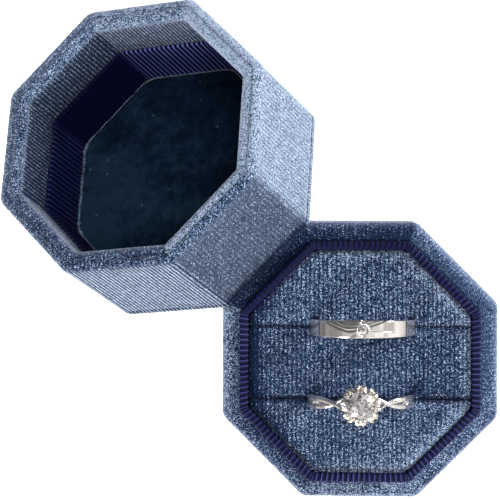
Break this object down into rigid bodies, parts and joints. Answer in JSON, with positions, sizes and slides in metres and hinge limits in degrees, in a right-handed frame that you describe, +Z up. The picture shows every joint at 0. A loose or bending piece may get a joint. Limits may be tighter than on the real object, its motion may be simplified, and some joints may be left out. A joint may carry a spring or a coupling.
{
  "type": "ring box",
  "caption": "Octagonal ribbed-velvet ring box: base with ribbon-covered collar and slotted cushion holding a band and a solitaire, and a lift-off lid lying open beside it.",
  "frame": {"origin": "centre of the base's underside, on the table", "axes": "+Z up; +X along the cushion's ring slots; the lid lies open at -X +Y"},
  "size_m": [0.0967, 0.0965, 0.0501],
  "materials": {
    "velvet": "matte",
    "dark_velvet": "matte",
    "ribbon": "satin",
    "thread": "matte",
    "board": "matte",
    "card": "matte",
    "underside_paper": "matte",
    "foam": "matte",
    "white_metal": "polished",
    "stone": "polished"
  },
  "bodies": {
    "base": {"base_underside": "underside_paper", "base_floor_board": "board", "base_wall_board": "board", "base_outer_velvet": "velvet", "collar_board": "board", "collar_ribbon": "ribbon", "base_filler_foam": "foam", "cushion_card": "card", "back_pad_foam": "foam", "back_pad_velvet": "velvet", "middle_pad_foam": "foam", "middle_pad_velvet": "velvet", "front_pad_foam": "foam", "front_pad_velvet": "velvet"},
    "lid": {"lid_wall_board": "board", "lid_top_board": "board", "lid_end_velvet": "velvet", "lid_wall_velvet": "velvet", "lid_liner_board": "board", "lid_liner_ribbon": "ribbon", "lid_pad_card": "card", "lid_pad_foam": "foam", "lid_pad_velvet": "dark_velvet", "lid_pad_cord": "thread"},
    "band_ring": {"band_ring_shank": "white_metal", "band_ring_stone": "stone", "band_ring_beads": "white_metal"},
    "solitaire_ring": {"solitaire_shank": "white_metal", "solitaire_basket": "white_metal", "solitaire_claws": "white_metal", "solitaire_stone": "stone"}
  },
  "joints": [
    {"name": "lid_lift", "type": "slide", "parent": "base", "child": "lid", "axis": [-0.3671, 0.3483, 0.8625], "range_m": [0, 0.06]},
    {"name": "band_ring_lift", "type": "slide", "parent": "base", "child": "band_ring", "axis": [0, 0, 1], "range_m": [0, 0.03]},
    {"name": "solitaire_ring_lift", "type": "slide", "parent": "base", "child": "solitaire_ring", "axis": [0, 0, 1], "range_m": [0, 0.03]}
  ]
}
